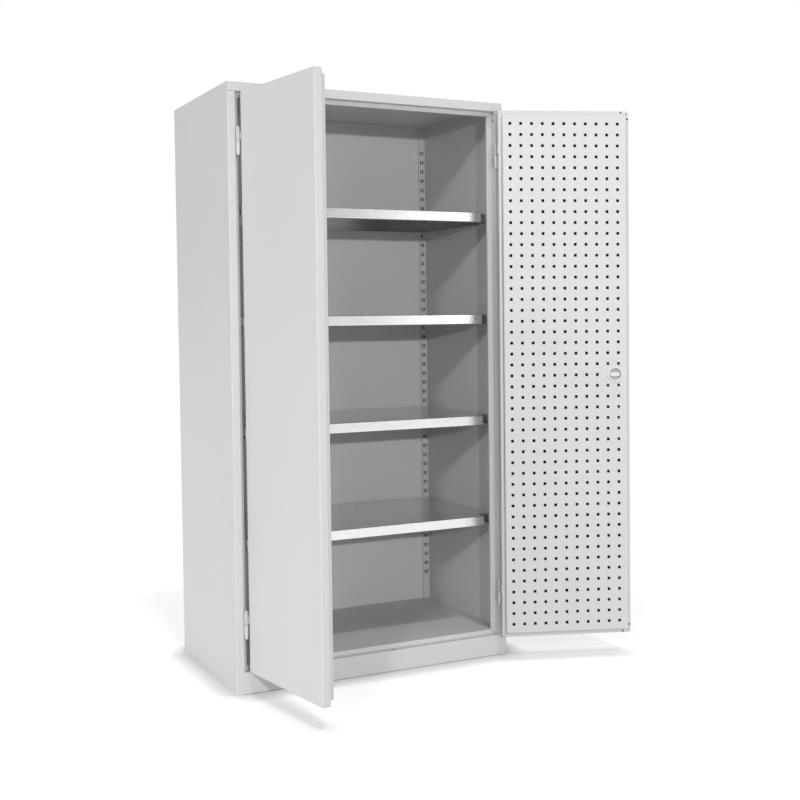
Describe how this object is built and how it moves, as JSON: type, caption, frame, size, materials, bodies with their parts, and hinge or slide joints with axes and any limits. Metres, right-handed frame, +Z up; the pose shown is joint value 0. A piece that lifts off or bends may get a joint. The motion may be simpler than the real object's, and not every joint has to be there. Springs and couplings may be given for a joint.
{
  "type": "workshop cabinet",
  "caption": "Tall folded sheet-steel workshop cabinet with two hinged double-skin doors, perforated inner door panel, adjustable galvanised shelves and a rod lock.",
  "frame": {"origin": "middle of the carcass footprint, on the floor", "axes": "+X to the right as seen from the front, +Y from the doors to the back, +Z up"},
  "size_m": [1.4069, 1.0692, 1.95],
  "materials": {
    "grey_paint": "light grey powder coat, satin, very fine texture",
    "galvanised_steel": "plain galvanised sheet, semi-bright",
    "bright_zinc": "bright zinc plating",
    "zinc_plated_steel": "zinc-plated pressings, dull",
    "grey_plastic": "satin moulded plastic",
    "black_plastic": "black moulded plastic, satin",
    "key_plug_metal": "nickel-plated plug"
  },
  "bodies": {
    "carcass": {"back_panel": "grey_paint", "floor_panel": "grey_paint", "left_frame_hinge_halves": "bright_zinc", "left_front_upright": "grey_paint", "left_hinge_pins": "bright_zinc", "left_rear_upright": "grey_paint", "left_rebate_angle": "grey_paint", "left_side_panel": "grey_paint", "plinth_front": "grey_paint", "right_frame_hinge_halves": "bright_zinc", "right_front_upright": "grey_paint", "right_hinge_pins": "bright_zinc", "right_rear_upright": "grey_paint", "right_rebate_angle": "grey_paint", "right_side_panel": "grey_paint", "shelf_1": "galvanised_steel", "shelf_1_clips": "galvanised_steel", "shelf_2": "galvanised_steel", "shelf_2_clips": "galvanised_steel", "shelf_3": "galvanised_steel", "shelf_3_clips": "galvanised_steel", "shelf_4": "galvanised_steel", "shelf_4_clips": "galvanised_steel", "top_panel": "grey_paint", "top_rebate_angle": "grey_paint"},
    "left_door": {"left_door_hinge_halves": "grey_paint", "left_door_inner_pan": "grey_paint", "left_door_outer_pan": "grey_paint"},
    "right_door": {"right_door_hinge_halves": "grey_paint", "right_door_inner_pan": "grey_paint", "right_door_outer_pan": "grey_paint", "lock_case": "zinc_plated_steel", "inner_rosette": "grey_plastic", "outer_escutcheon": "grey_plastic"},
    "lock_handle": {"outer_handle": "black_plastic", "lock_spindle": "zinc_plated_steel", "lock_cam": "zinc_plated_steel", "inner_turn_bar": "grey_plastic"},
    "upper_rod": {"upper_lock_rod": "zinc_plated_steel"},
    "lower_rod": {"lower_lock_rod": "zinc_plated_steel"},
    "key_plug": {"key_plug": "key_plug_metal"}
  },
  "joints": [
    {"name": "left_door_swing", "type": "hinge", "parent": "carcass", "child": "left_door", "pos_m": [-0.469, -0.308, 0.996], "axis": [0, 0, -1], "range_deg": [-82.1, 92.9]},
    {"name": "right_door_swing", "type": "hinge", "parent": "carcass", "child": "right_door", "pos_m": [0.469, -0.308, 0.996], "axis": [0, 0, 1], "range_deg": [-158.8, 16.2]},
    {"name": "handle_turn", "type": "hinge", "parent": "right_door", "child": "lock_handle", "pos_m": [0.85291, -0.45476, 0.996], "axis": [0.3616, 0.9323, 0], "range_deg": [0, 90]},
    {"name": "upper_rod_slide", "type": "slide", "parent": "right_door", "child": "upper_rod", "axis": [0, 0, 1], "range_m": [0, 0.0255]},
    {"name": "lower_rod_slide", "type": "slide", "parent": "right_door", "child": "lower_rod", "axis": [0, 0, -1], "range_m": [0, 0.0255]},
    {"name": "key_plug_turn", "type": "hinge", "parent": "lock_handle", "child": "key_plug", "pos_m": [0.86014, -0.43612, 0.996], "axis": [0.3616, 0.9323, 0], "range_deg": [0, 90]}
  ],
  "couplings": [
    {"joint": "upper_rod_slide", "follows": "handle_turn", "m_per_rad": 0.016206},
    {"joint": "lower_rod_slide", "follows": "handle_turn", "m_per_rad": 0.016206}
  ]
}
